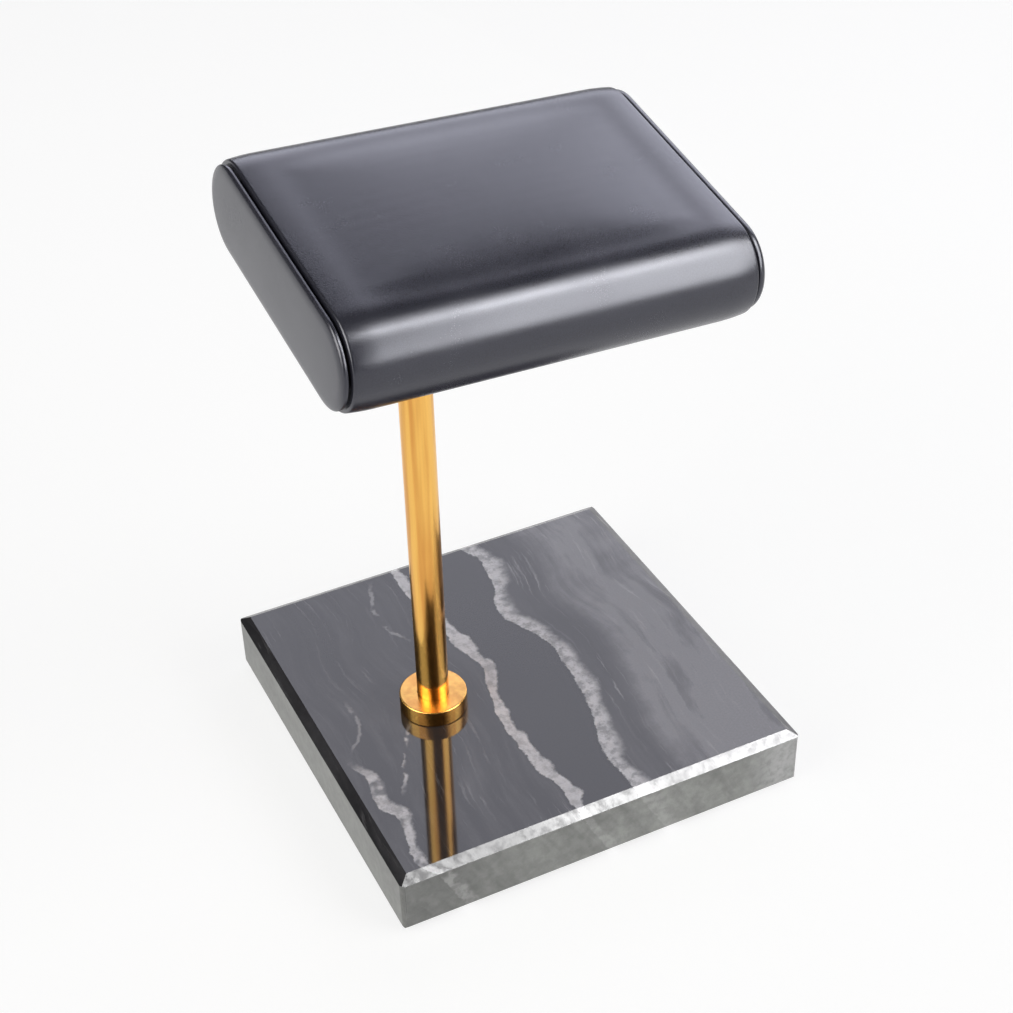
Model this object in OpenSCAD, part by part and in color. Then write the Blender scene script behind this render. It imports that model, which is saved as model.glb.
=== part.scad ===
// Watch display stand: a bevelled marble slab, a plated post left of its centre, and a
// leather-covered wrist pillow that leans forward on the post. The pillow's right end is
// free, so a closed bracelet slides on from that side.
//
// Axes: X to the right along the front edge, Y to the back, Z up.
// Origin: centre of the slab's outline, on the surface that the feet stand on.
// Units: millimetres and degrees.

/* [Marble slab] */
// Width of the slab, left to right
slab_w = 100; // [80:1:140]
// Depth of the slab, front to back
slab_d = 100; // [80:1:140]
// Thickness of the slab
slab_t = 15; // [12:0.1:25]
// Width of the bevel round the top face
bevel_w = 2.3; // [1:0.1:4]
// Height of the bevel down each side
bevel_h = 1.4; // [0.4:0.1:3]
// Size of the small chamfer round the underside
arris = 1; // [0.2:0.1:1.5]
// Radius of the four upright corners
corner_r = 1.2; // [0.4:0.1:3]

/* [Stick-on feet] */
// Diameter of a foot
foot_d = 10; // [6:0.5:16]
// Thickness of a foot
foot_t = 1; // [0.5:0.1:3]
// Distance from the slab's sides to a foot's centre
foot_inset = 11; // [9:0.5:20]

/* [Post and collar] */
// Diameter of the post
post_d = 7.4; // [6.4:0.1:10]
// Place of the post from the slab's centre, to the right
post_x = -20.5; // [-30:0.1:0]
// Place of the post from the slab's centre, to the back
post_y = -2.4; // [-15:0.1:15]
// Diameter of the collar at the foot of the post
collar_d = 15.8; // [12:0.1:24]
// Height of the collar
collar_h = 4.3; // [2:0.1:10]
// Chamfer on the collar's upper edge
collar_edge = 0.4; // [0.1:0.05:1]
// Diameter of the threaded spigot on top of the post
spigot_d = 5; // [4:0.1:6]
// How far the spigot stops short of the insert's end
spigot_short = 1; // [0.5:0.1:3]

/* [Screw under the slab] */
// Thread diameter of the screw
screw_d = 4; // [3:0.1:5]
// Length of thread inside the post
screw_grip = 10; // [6:0.5:16]
// Depth of the post's hole beyond the screw's end
tap_spare = 2; // [1:0.5:4]
// Diameter of the screw's head
head_d = 7; // [6:0.1:8.5]
// Height of the screw's head
head_h = 4; // [3:0.1:5]
// Width of the hexagonal key socket, across its flats
key_w = 3; // [2:0.5:4]
// Depth of the key socket
key_depth = 2; // [1:0.25:2.5]
// Diameter of the flat washer
washer_d = 12; // [9:0.5:13]
// Thickness of the flat washer
washer_t = 1; // [0.5:0.1:2]
// Diameter of the split lock washer
lock_d = 7; // [6.5:0.1:8.5]
// Thickness of the lock washer
lock_t = 1; // [0.6:0.1:1.5]
// Width of the slit in the lock washer
lock_slit = 0.8; // [0.4:0.1:1.5]
// Diameter of the hole through the slab
slab_hole_d = 5.6; // [5.3:0.1:8]
// Room round the flat washer in its recess
washer_room = 1; // [0.5:0.1:3]
// How far the head stays inside the slab's underside
head_sink = 1.2; // [0.5:0.1:2.5]

/* [Wrist pillow] */
// Whole length of the pillow, with its end caps
pad_len = 92.4; // [75:0.1:120]
// Depth of the pillow, front to back
pad_w = 69; // [52:1:90]
// Thickness of the pillow
pad_t = 21.6; // [19:0.1:30]
// Height of the pillow's centre above the slab
pad_lift = 118.8; // [90:0.1:180]
// Distance from the post to the pillow's centre, to the right
pad_reach = 17.1; // [0:0.1:25]
// Lean of the pillow towards the front
pad_lean = 10.6; // [0:0.1:20]
// Fall of the pillow towards its free right end
pad_droop = 3; // [0:0.1:6]
// Turn of the pillow about the post
pad_turn = 1.3; // [-5:0.1:5]

/* [Pillow's layers] */
// Thickness of the leather
leather_t = 0.6; // [0.5:0.1:1.2]
// Thickness of the foam round the core
foam_t = 2.5; // [1:0.1:4]
// Width of the leather turned in round each open edge
hem_w = 4; // [2.5:0.5:5]
// How much the outline draws in at the sleeve's ends
end_fall = 0.8; // [0.4:0.1:2]
// Length over which the outline draws in
end_round = 6; // [3:0.5:10]
// Width of the groove between the sleeve and each end cap
groove_w = 0.5; // [0.2:0.1:1.5]
// How much smaller an end cap is all round than the sleeve's end
cap_inset = 0.3; // [0:0.1:1]
// Thickness of the board in each end cap
cap_board_t = 0.5; // [0.4:0.1:3]
// Thickness of the foam in each end cap
cap_foam_t = 0.3; // [0.3:0.1:1.5]
// How much an end cap's rounded edge draws in across its outer face
cap_fall = 2.6; // [1.3:0.1:4]
// Length over which the end cap's edge is rounded
cap_round = 1.3; // [1:0.1:2]

/* [Threaded insert in the core] */
// Diameter of the insert's body
insert_d = 8.5; // [7.5:0.1:10]
// Diameter of the insert's flange
flange_d = 12; // [11:0.1:14]
// Thickness of the insert's flange
flange_t = 1; // [0.6:0.1:2]
// Least depth of the flange inside the core
seat_cover = 0.7; // [0.3:0.1:2]
// Thickness of the core left above the insert
core_roof = 3.3; // [1.5:0.1:5]

/* [Clearances] */
// Gap between threads, and between a piece and the bore it sits in
fit_gap = 0.05; // [0.02:0.01:0.1]
// Gap between the layers of the pillow
layer_gap = 0.05; // [0.02:0.01:0.1]
// Gap round the post where it enters the pillow
post_gap = 0.2; // [0.1:0.05:0.5]

/* [Hidden] */
$fn = 96;
round_steps = 6; // straight runs in a rounded edge
overcut = 1; // how far a cutter runs past what it cuts
drill_angle = 118; // point angle of the drill that made the post's hole

slab_z = foot_t;
slab_top = slab_z + slab_t;
recess_d = washer_d + 2 * washer_room;
washer_z = slab_z + head_sink + head_h + lock_t;
recess_top = washer_z + washer_t;
lock_z = washer_z - lock_t;
head_z = lock_z - head_h;

cap_t = 2 * leather_t + cap_board_t + cap_foam_t;
sleeve_len = pad_len - 2 * (groove_w + cap_t);
cavity_len = sleeve_len - 2 * leather_t;
cavity_t = pad_t - 2 * leather_t;
foam_out_t = cavity_t - 2 * layer_gap;
foam_in_t = foam_out_t - 2 * foam_t;
core_t = foam_in_t - 2 * layer_gap;
filling_len = cavity_len - 2 * layer_gap;
end_t = pad_t - 2 * end_fall;
cap_outline_t = end_t - 2 * cap_inset;
opening_t = end_t - 2 * hem_w;
cap_z = sleeve_len / 2 + groove_w;
land_len = 2 * (cap_z + leather_t);

pad_x = post_x + pad_reach;
pad_y = post_y;
pad_z = slab_top + pad_lift;
// The pillow's upward normal, after its lean, droop and turn
pad_normal = [
    cos(pad_turn) * cos(pad_lean) * sin(pad_droop) + sin(pad_turn) * sin(pad_lean),
    sin(pad_turn) * cos(pad_lean) * sin(pad_droop) - cos(pad_turn) * sin(pad_lean),
    cos(pad_lean) * cos(pad_droop)
];
tilt = acos(pad_normal.z);
// Heights on the post's axis, where it meets the leaning pillow
middle_z = pad_z + pad_normal.x * pad_reach / pad_normal.z;
core_under_z = middle_z - core_t / 2 / pad_normal.z;
core_top_z = middle_z + core_t / 2 / pad_normal.z;
seat_z = core_under_z + flange_d / 2 * tan(tilt) + seat_cover;
insert_top_z = core_top_z - core_roof;

// Shapes that several pieces share

// Moves its children, drawn round the Z axis, onto the post's axis
module on_post(z = 0) {
    translate([post_x, post_y, z]) children();
}

// Puts its children, drawn lengthwise along Z, into the leaning pillow
module in_pillow() {
    translate([pad_x, pad_y, pad_z]) rotate([pad_lean, pad_droop, pad_turn]) rotate([90, 0, 90]) children();
}

// Quarter of an ellipse from a shape's side (start of the list) to its end face
function edge_curve(side, end, fall, run) = [
    for (i = [0:round_steps])
        let (a = 90 * i / round_steps)
        [side - fall * (1 - cos(a)), end - run * (1 - sin(a))]
];

// The same edge, mirrored to the lower end
function lower_edge(side, end, fall, run) = [
    for (i = [round_steps:-1:0])
        let (p = edge_curve(side, end, fall, run)[i])
        [p.x, -p.y]
];

// Bar of a flat oval section, w by t, whose half outline lengthwise is the given profile
module oval_bar(w, t, profile) {
    for (side = [0, 180]) rotate([0, 0, side]) translate([(w - t) / 2, 0, 0])
        rotate([0, 0, -90]) rotate_extrude(angle = 180) polygon(profile);
    for (side = [0, 1]) mirror([0, side, 0]) rotate([90, 0, 90])
        linear_extrude(w - t, center = true) polygon(profile);
}

// Layer of the sleeve, of the given length, whose outline draws in at both ends
module sleeve_bar(t, length) {
    profile = concat(
        [[0, -length / 2]],
        lower_edge(t / 2, length / 2, end_fall, end_round),
        edge_curve(t / 2, length / 2, end_fall, end_round),
        [[0, length / 2]]
    );
    oval_bar(t + pad_w - pad_t, t, profile);
}

// Plain bar of the same oval section
module straight_bar(t, length) {
    oval_bar(t + pad_w - pad_t, t, [[0, -length / 2], [t / 2, -length / 2], [t / 2, length / 2], [0, length / 2]]);
}

// Plate of an end cap from z0 to z1, rounded round its outer face. Each of its sides lies
// `inset` inside the outer one's.
module cap_plate(inset, z0, z1) {
    t = cap_outline_t - 2 * inset;
    profile = concat([[0, z0], [t / 2, z0]], edge_curve(t / 2, z1, cap_fall - inset, cap_round - inset), [[0, z1]]);
    oval_bar(t + pad_w - pad_t, t, profile);
}

// Puts an end cap's piece, drawn for the right end, at either end
module at_end(side) {
    in_pillow() mirror([0, 0, side < 0 ? 1 : 0]) children();
}

// Long cutter that bevels one edge, by `across` on the flat face and `down` on the side
module edge_cutter(length, across, down) {
    rotate([90, 0, 90]) linear_extrude(length, center = true)
        polygon([[across, 0], [0, -down], [-overcut, -down], [-overcut, overcut], [across, overcut]]);
}

// Square outline with round corners
module rounded_rectangle(w, d, r) {
    square([w - 2 * r, d], center = true);
    square([w, d - 2 * r], center = true);
    for (x = [-1, 1], y = [-1, 1]) translate([x * (w / 2 - r), y * (d / 2 - r)]) circle(r);
}

// Ring round the Z axis
module ring(outer, inner, height) {
    difference() {
        cylinder(d = outer, h = height);
        translate([0, 0, -overcut]) cylinder(d = inner, h = height + 2 * overcut);
    }
}

// Pieces of the base

module base_slab() {
    color("dimgray") difference() {
        translate([0, 0, slab_z]) linear_extrude(slab_t) rounded_rectangle(slab_w, slab_d, corner_r);
        for (side = [0:3]) {
            crosswise = side % 2 == 0;
            half = (crosswise ? slab_d : slab_w) / 2;
            run = (crosswise ? slab_w : slab_d) + 2 * overcut;
            rotate([0, 0, 90 * side]) translate([0, -half, slab_top]) edge_cutter(run, bevel_w, bevel_h);
            rotate([0, 0, 90 * side]) translate([0, -half, slab_z]) mirror([0, 0, 1])
                edge_cutter(run, arris, arris);
        }
        on_post(slab_z - overcut) cylinder(d = slab_hole_d, h = slab_t + 2 * overcut);
        on_post(slab_z - overcut) cylinder(d = recess_d, h = recess_top - slab_z + overcut);
    }
}

module foot(x, y) {
    color("black") translate([x * (slab_w / 2 - foot_inset), y * (slab_d / 2 - foot_inset), 0])
        cylinder(d = foot_d, h = foot_t);
}

module foot_front_left() {
    foot(-1, -1);
}

module foot_front_right() {
    foot(1, -1);
}

module foot_back_left() {
    foot(-1, 1);
}

module foot_back_right() {
    foot(1, 1);
}

// Socket-head screw, driven from below into the post
module base_screw() {
    color("silver") difference() {
        union() {
            on_post(head_z) cylinder(d = head_d, h = head_h);
            on_post(head_z) cylinder(d = screw_d, h = slab_top + screw_grip - head_z);
        }
        on_post(head_z - overcut) cylinder(d = key_w / cos(30), h = key_depth + overcut, $fn = 6);
    }
}

module flat_washer() {
    color("silver") on_post(washer_z) ring(washer_d, screw_d + 4 * fit_gap, washer_t);
}

module lock_washer() {
    color("silver") on_post(lock_z) difference() {
        ring(lock_d, screw_d + 4 * fit_gap, lock_t);
        translate([0, -lock_slit / 2, -overcut]) cube([lock_d, lock_slit, lock_t + 2 * overcut]);
    }
}

// Turned ring that hides the joint between post and slab
module post_collar() {
    bore_r = post_d / 2 + fit_gap;
    rim_r = collar_d / 2;
    color("goldenrod") on_post(slab_top) rotate_extrude() polygon([
        [bore_r, 0], [rim_r, 0], [rim_r, collar_h - collar_edge],
        [rim_r - collar_edge, collar_h], [bore_r, collar_h]
    ]);
}

// Round rod, tapped from below for the screw, with a threaded spigot on top
module post() {
    tap_r = screw_d / 2 + fit_gap;
    tap_end = screw_grip + tap_spare;
    spigot_top = insert_top_z - spigot_short - slab_top;
    shoulder = seat_z - slab_top;
    color("goldenrod") on_post(slab_top) rotate_extrude() polygon([
        [tap_r, 0], [post_d / 2, 0], [post_d / 2, shoulder], [spigot_d / 2, shoulder],
        [spigot_d / 2, spigot_top], [0, spigot_top],
        [0, tap_end + tap_r / tan(drill_angle / 2)], [tap_r, tap_end]
    ]);
}

// Pieces of the pillow

// Stiff core: its ends step down to lands that carry the end caps, and its socket for the
// insert is drilled in line with the post, not square to the leaning core
module pad_core() {
    color("burlywood") difference() {
        in_pillow() {
            sleeve_bar(core_t, filling_len);
            straight_bar(opening_t - 2 * layer_gap, land_len);
        }
        on_post(middle_z - pad_t) cylinder(d = flange_d + 2 * fit_gap, h = seat_z + flange_t - middle_z + pad_t);
        on_post(seat_z) cylinder(d = insert_d + 2 * fit_gap, h = insert_top_z - seat_z);
    }
}

// Flanged nut that the post's spigot screws into
module threaded_insert() {
    bore_r = spigot_d / 2 + fit_gap;
    color("gold") on_post(seat_z) rotate_extrude() polygon([
        [bore_r, 0], [flange_d / 2, 0], [flange_d / 2, flange_t], [insert_d / 2, flange_t],
        [insert_d / 2, insert_top_z - seat_z - fit_gap], [bore_r, insert_top_z - seat_z - fit_gap]
    ]);
}

module post_hole() {
    on_post(middle_z - pad_t) cylinder(d = post_d + 2 * post_gap, h = pad_t);
}

module pad_foam() {
    color("lightgray") difference() {
        in_pillow() sleeve_bar(foam_out_t, filling_len);
        in_pillow() sleeve_bar(foam_in_t, filling_len + 2 * overcut);
        post_hole();
    }
}

// Leather sleeve, turned in at both ends round an oval opening
module pad_cover() {
    color("darkslategray") difference() {
        in_pillow() sleeve_bar(pad_t, sleeve_len);
        in_pillow() sleeve_bar(cavity_t, cavity_len);
        in_pillow() straight_bar(opening_t, sleeve_len + 2 * overcut);
        post_hole();
    }
}

// What an end cap's leather holds, cut off between two heights
module cap_filling(z0, z1) {
    end = cap_z + cap_t - leather_t - layer_gap;
    intersection() {
        cap_plate(leather_t + layer_gap, cap_z + leather_t, end);
        translate([-pad_w / 2, -pad_t / 2, z0]) cube([pad_w, pad_t, z1 - z0]);
    }
}

module end_board(side) {
    z0 = cap_z + leather_t;
    color("peru") at_end(side) cap_filling(z0, z0 + cap_board_t);
}

module end_foam(side) {
    z0 = cap_z + leather_t + cap_board_t;
    color("lightgray") at_end(side) cap_filling(z0, z0 + cap_foam_t);
}

// Leather over an end cap, turned in behind it round the same oval opening
module end_cover(side) {
    color("darkslategray") at_end(side) difference() {
        cap_plate(0, cap_z, cap_z + cap_t);
        cap_plate(leather_t, cap_z + leather_t, cap_z + cap_t - leather_t);
        translate([0, 0, cap_z]) straight_bar(opening_t, 2 * leather_t + cap_board_t);
    }
}

module left_end_board() {
    end_board(-1);
}

module left_end_foam() {
    end_foam(-1);
}

module left_end_cover() {
    end_cover(-1);
}

module right_end_board() {
    end_board(1);
}

module right_end_foam() {
    end_foam(1);
}

module right_end_cover() {
    end_cover(1);
}

base_slab();
foot_front_left();
foot_front_right();
foot_back_left();
foot_back_right();
base_screw();
flat_washer();
lock_washer();
post_collar();
post();
pad_core();
threaded_insert();
pad_foam();
pad_cover();
left_end_board();
left_end_foam();
left_end_cover();
right_end_board();
right_end_foam();
right_end_cover();
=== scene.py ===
import math
from collections import namedtuple
from contextlib import contextmanager

import bmesh
import bpy
import numpy as np
from mathutils import Euler, Matrix, Vector
from mathutils.bvhtree import BVHTree


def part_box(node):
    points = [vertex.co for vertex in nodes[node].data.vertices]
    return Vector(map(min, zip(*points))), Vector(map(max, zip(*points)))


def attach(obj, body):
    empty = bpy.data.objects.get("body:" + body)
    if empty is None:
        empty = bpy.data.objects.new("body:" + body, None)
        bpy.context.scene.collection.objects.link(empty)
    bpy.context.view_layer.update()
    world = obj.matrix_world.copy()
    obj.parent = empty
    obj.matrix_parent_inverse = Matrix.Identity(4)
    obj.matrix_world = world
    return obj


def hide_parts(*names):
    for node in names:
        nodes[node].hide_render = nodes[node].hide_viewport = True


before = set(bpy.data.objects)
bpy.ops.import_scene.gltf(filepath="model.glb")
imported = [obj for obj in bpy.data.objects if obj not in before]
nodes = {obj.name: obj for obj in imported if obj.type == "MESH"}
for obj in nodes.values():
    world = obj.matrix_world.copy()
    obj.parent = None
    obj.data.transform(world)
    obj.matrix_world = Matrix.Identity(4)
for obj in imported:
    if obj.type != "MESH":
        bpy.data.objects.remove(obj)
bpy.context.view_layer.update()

# Watch stand: a marble slab, a gold post with its collar, and a leather wrist pillow.
# Lengths are in millimetres until MM makes them Blender's metres. X runs to the right along
# the slab's front edge, Y to the back, Z up.
MM = 0.001
scene = bpy.context.scene

# Camera, as fitted to the photograph
PHOTO_SIDE = 1013  # width and height of the picture, in pixels
FOCAL_LENGTH = 1903.567  # in pixels
SENSOR = 36
CAMERA_TURN = -25.42  # degrees from straight in front, to the left
CAMERA_RISE = 36.701  # degrees above the horizon
CAMERA_ROLL = -1.543
CAMERA_DISTANCE = 427.906
AIM_HEIGHT = 61
AIM_RIGHT, AIM_UP = 0.662, 3.179  # how far the aim lies from that height, across the view
NEAREST_SEEN = 10


def add_object(name, data):
    made = bpy.data.objects.new(name, data)
    scene.collection.objects.link(made)
    return made


def add_camera():
    turn, rise, roll = (math.radians(a) for a in (CAMERA_TURN, CAMERA_RISE, CAMERA_ROLL))
    back = Vector((math.sin(turn) * math.cos(rise), -math.cos(turn) * math.cos(rise), math.sin(rise)))
    level = Vector((math.cos(turn), math.sin(turn), 0))
    upright = back.cross(level)
    right = level * math.cos(roll) + upright * math.sin(roll)
    up = upright * math.cos(roll) - level * math.sin(roll)
    aim = Vector((0, 0, AIM_HEIGHT)) + right * AIM_RIGHT + up * AIM_UP
    camera = add_object("camera", bpy.data.cameras.new("camera"))
    camera.data.sensor_width = SENSOR
    camera.data.lens = SENSOR * FOCAL_LENGTH / PHOTO_SIDE
    camera.data.clip_start = NEAREST_SEEN * MM
    axes = Matrix((right, up, back)).transposed().to_4x4()
    camera.matrix_world = Matrix.Translation((aim + back * CAMERA_DISTANCE) * MM) @ axes
    scene.camera = camera


add_camera()

# Node trees

NOISE_LOW, NOISE_HIGH = 0.3, 0.7  # most of a noise's values lie between these


class Tree:
    """A node tree under construction."""

    def node(self, kind, inputs=None, **settings):
        made = self.tree.nodes.new(kind)
        for name, value in settings.items():
            setattr(made, name, value)
        for socket, value in (inputs or {}).items():
            self.feed(made.inputs[socket], value)
        return made

    def output(self, kind, inputs=None, **settings):
        """First output of a new node."""
        return self.node(kind, inputs, **settings).outputs[0]

    def feed(self, socket, value):
        if isinstance(value, bpy.types.NodeSocket):
            self.tree.links.new(value, socket)
        else:
            socket.default_value = value

    def feed_all(self, sockets, values):
        for socket, value in zip(sockets, values):
            self.feed(socket, value)

    def vector(self, **axes):
        return self.output("ShaderNodeCombineXYZ", axes)

    def axes(self, vector):
        return self.node("ShaderNodeSeparateXYZ", {"Vector": vector}).outputs

    def calc(self, operation, first, second=0.0, third=0.0):
        made = self.node("ShaderNodeMath", operation=operation)
        self.feed_all(made.inputs, (first, second, third))
        return made.outputs[0]

    def product(self, first, *others):
        for other in others:
            first = self.calc("MULTIPLY", first, other)
        return first

    def largest(self, first, *others):
        for other in others:
            first = self.calc("MAXIMUM", first, other)
        return first


class Finish(Tree):
    """A material, with short calls for the nodes that it uses."""

    def __init__(self, name, **sockets):
        self.material = bpy.data.materials.new(name)
        self.material.use_nodes = True
        self.tree = self.material.node_tree
        self.shader = self.tree.nodes["Principled BSDF"]
        self.set(**sockets)

    def set(self, **sockets):
        for socket, value in sockets.items():
            self.feed(self.shader.inputs[socket.replace("_", " ")], value)
        return self.material

    def place(self, stretch=(1, 1, 1), turn=(0, 0, 0)):
        """Object coordinates in millimetres, stretched and turned."""
        spot = self.node("ShaderNodeTexCoord").outputs["Object"]
        return self.stretched(spot, [s / MM for s in stretch], turn)

    def stretched(self, spot, scale, turn=(0, 0, 0)):
        return self.output("ShaderNodeMapping", {"Vector": spot, "Scale": scale, "Rotation": turn})

    def upward(self):
        """How far a face looks up, from -1 to 1."""
        return self.axes(self.node("ShaderNodeNewGeometry").outputs["Normal"])["Z"]

    def noise(self, place, size, detail=3.0, rough=0.5, warp=0.0):
        """Cloudy noise, from 0 to 1, whose blotches are about size across."""
        inputs = {"Scale": 1 / size, "Detail": detail, "Roughness": rough, "Distortion": warp}
        return self.output("ShaderNodeTexNoise", {"Vector": place, **inputs})

    def rise(self, value, low, high, bottom=0.0, top=1.0):
        """Smooth step from bottom to top while value goes from low to high."""
        made = self.node("ShaderNodeMapRange", interpolation_type="SMOOTHSTEP")
        self.feed_all(made.inputs, (value, low, high, bottom, top))
        return made.outputs[0]

    def fall(self, value, low, high, top=1.0, bottom=0.0):
        """Smooth step from top down to bottom while value goes from low to high."""
        return self.rise(value, low, high, top, bottom)

    def spread(self, noise, bottom=0.0, top=1.0):
        """A noise made to fill the range from bottom to top."""
        return self.rise(noise, NOISE_LOW, NOISE_HIGH, bottom, top)

    def blend(self, share, first, second, mode="MIX"):
        made = self.node("ShaderNodeMix", data_type="RGBA", blend_type=mode)
        self.feed_all((made.inputs[0], made.inputs[6], made.inputs[7]), (share, first, second))
        return made.outputs[2]

    def bump(self, height, depth, below=None):
        """Relief of the given depth in millimetres."""
        inputs = {"Height": height, "Distance": depth * MM, "Strength": 1.0}
        if below:
            inputs["Normal"] = below
        return self.output("ShaderNodeBump", inputs)


class Recipe(Tree):
    """A Geometry Nodes tree with named inputs, whose lengths are given in millimetres."""

    def __init__(self, name, lengths, numbers):
        self.tree = bpy.data.node_groups.new(name, "GeometryNodeTree")
        self.socket("Geometry", "Geometry")
        self.values = {self.socket(label, "Float"): value * MM for label, value in lengths.items()}
        self.values.update({self.socket(label, "Int"): value for label, value in numbers.items()})
        self.finish = self.socket("Finish", "Material")
        self.socket("Geometry", "Geometry", "OUTPUT")
        self.inputs = self.tree.nodes.new("NodeGroupInput").outputs
        self.result = self.tree.nodes.new("NodeGroupOutput").inputs[0]

    def socket(self, label, kind, way="INPUT"):
        """Adds a named socket to the tree, and gives its identifier."""
        made = self.tree.interface.new_socket(label, in_out=way, socket_type=f"NodeSocket{kind}")
        return made.identifier

    def drawn_in(self, solid, height, share, power):
        """An upright solid whose two ends are narrower by a share of its radius."""
        axes = self.axes(self.output("GeometryNodeInputPosition"))
        level = self.calc("DIVIDE", self.calc("ABSOLUTE", axes["Z"]), self.calc("MULTIPLY", height, 0.5))
        keep = self.calc("SUBTRACT", 1, self.product(share, self.calc("POWER", level, power)))
        moved = self.vector(X=self.product(axes["X"], keep), Y=self.product(axes["Y"], keep), Z=axes["Z"])
        return self.output("GeometryNodeSetPosition", {"Geometry": solid, "Position": moved})

    def on_points(self, points, solid, **inputs):
        return self.output("GeometryNodeInstanceOnPoints", {"Points": points, "Instance": solid, **inputs})

    def make(self, piece, shape, material):
        """Ends the tree with the given shape, and turns the piece into its plain mesh."""
        real = self.output("GeometryNodeRealizeInstances", {"Geometry": shape})
        inputs = {"Geometry": real, "Material": self.inputs["Finish"]}
        self.feed(self.result, self.output("GeometryNodeSetMaterial", inputs))
        recipe = piece.modifiers.new("recipe", "NODES")
        recipe.node_group = self.tree
        for socket, value in self.values.items():
            recipe[socket] = value
        recipe[self.finish] = material
        settle(piece)
        keep_sharp(piece)


def grey(value, tint=(1, 1, 1)):
    return (value * tint[0], value * tint[1], value * tint[2], 1)


# Floor and light

FLOOR_SIDE = 6000
FLOOR_GREY = 0.25
FLOOR_GLOW = 0.8
CEILING_GLOW = 0.08
COOL, WARM = (0.92, 0.93, 1.06), (1.02, 1.01, 0.95)
BACK_CARD, RIGHT_CARD = (378, 870), (818, 501)  # where the cards stand, as seen from above


def add_floor():
    half = FLOOR_SIDE / 2 * MM
    corners = [(-half, -half, 0), (half, -half, 0), (half, half, 0), (-half, half, 0)]
    mesh = bpy.data.meshes.new("floor")
    mesh.from_pydata(corners, [], [(0, 1, 2, 3)])
    floor = add_object("floor", mesh)
    paper = Finish("pale_floor", Base_Color=grey(FLOOR_GREY), Roughness=0.9)
    mesh.materials.append(paper.set(Emission_Color=grey(1), Emission_Strength=FLOOR_GLOW))


def add_softbox(name, centre, aim, width, height, shine, fill, tint=(1, 1, 1)):
    """Rectangular soft light at centre that faces aim. Its shine shows in polished faces, and
    its fill lights the matt ones."""
    for part, radiance in (("shine", shine), ("fill", fill)):
        light = bpy.data.lights.new(f"{name}_{part}", "AREA")
        light.shape = "RECTANGLE"
        light.size, light.size_y = width * MM, height * MM
        light.energy = radiance * math.pi * light.size * light.size_y
        light.color = tint
        lamp = add_object(light.name, light)
        lamp.location = Vector(centre) * MM
        lamp.rotation_euler = (Vector(centre) - Vector(aim)).to_track_quat("Z", "Y").to_euler()
        lamp.visible_camera = False
        lamp.visible_diffuse = part == "fill"
        lamp.visible_glossy = part == "shine"


def add_card(name, place, level, width, height, shine, fill):
    """Upright card of cool light that faces the middle of the scene."""
    add_softbox(name, (*place, level), (0, 0, level), width, height, shine, fill, COOL)


def light_studio():
    world = bpy.data.worlds.new("studio")
    scene.world = world
    world.use_nodes = True
    world.node_tree.nodes["Background"].inputs["Color"].default_value = grey(CEILING_GLOW)
    add_softbox(
        "front_softbox", centre=(375, -417, 371), aim=(375, -147, -82),
        width=450, height=735, shine=9.2, fill=4.8,
    )
    add_softbox(
        "top_strip", centre=(505, -546, 1200), aim=(505, -546, 0),
        width=530, height=240, shine=15, fill=1,
    )
    add_softbox(
        "left_softbox", centre=(-566, -90, 461), aim=(0, 0, 60),
        width=560, height=700, shine=7, fill=3.3, tint=WARM,
    )
    add_card("low_back_card", BACK_CARD, level=510, width=635, height=360, shine=2.5, fill=1.6)
    add_card("high_back_card", BACK_CARD, level=950, width=635, height=520, shine=2.3, fill=0.8)
    add_card("low_right_card", RIGHT_CARD, level=510, width=568, height=360, shine=3.8, fill=1.6)
    add_card("high_right_card", RIGHT_CARD, level=880, width=568, height=380, shine=2.9, fill=0.9)
    view = scene.view_settings
    view.view_transform = "Standard"
    view.look = "None"


add_floor()
light_studio()

# Marble. A vein is a line of (across, along) points on the slab's top face.

SLAB_SIDE = 100
VEIN_BY_POST = [
    (-8.1, 50), (-8.6, 40.7), (-6.1, 19.7), (-5.6, 13.1), (-3.4, 4.9), (-5.5, -3.2), (-7.6, -15.3),
    (-7.8, -22), (-7.3, -32.1), (-5.7, -42.2), (-5.4, -50),
]
VEIN_ON_RIGHT = [
    (10.5, 50), (13.5, 39.7), (12.2, 30.7), (9, 20.8), (11.3, 12.2), (14.8, 4), (14.2, -4.3),
    (13.5, -14.4), (11.3, -23.7), (8.4, -33.4), (8.2, -42.7), (8.5, -50),
]
VEIN_ON_LEFT = [
    (-38.5, 50), (-38.9, 7.8), (-38.3, 1.2), (-40.6, -4.8), (-44.8, -9.6), (-43.3, -17.2),
    (-44, -27.4), (-42.1, -31.1), (-42.4, -38.3), (-43.5, -46.6), (-40.8, -50),
]
THIN_VEIN_BEHIND = [(-14, 50), (-17.5, 42.4), (-20, 29.6), (-16, 20.7), (-12, 5), (-10, -50)]
THIN_VEIN_IN_FRONT = [
    (-24, 50), (-26, 0), (-28.9, -6.8), (-31.7, -12.1), (-34.9, -17.7), (-35.8, -20.8),
    (-38.3, -24.8), (-40, -50),
]
VEIN_NARROWEST = 0.1  # share of a vein's width that it keeps everywhere
VEIN_SLANT = 0.5  # how far a vein runs to the right for each millimetre down a side
VEIN_SWAY, VEIN_CHIPPING = 2.2, 1.6  # how far broad lumps and fine chips move a vein's edge
DARK_STONE = grey(0.021, (1, 0.96, 1.10))
PALE_STONE = grey(0.27, (1, 0.98, 1.06))
VEIN_WHITE = grey(0.76, (1, 0.98, 1.03))
VEIN_RIM = grey(0.01)  # dark line to the left of the right vein
STONE_GRAIN = grey(0.6)
HONED_STONE = grey(0.32, (0.98, 1, 0.95))
HONED_STREAK = grey(0.07)
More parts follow.
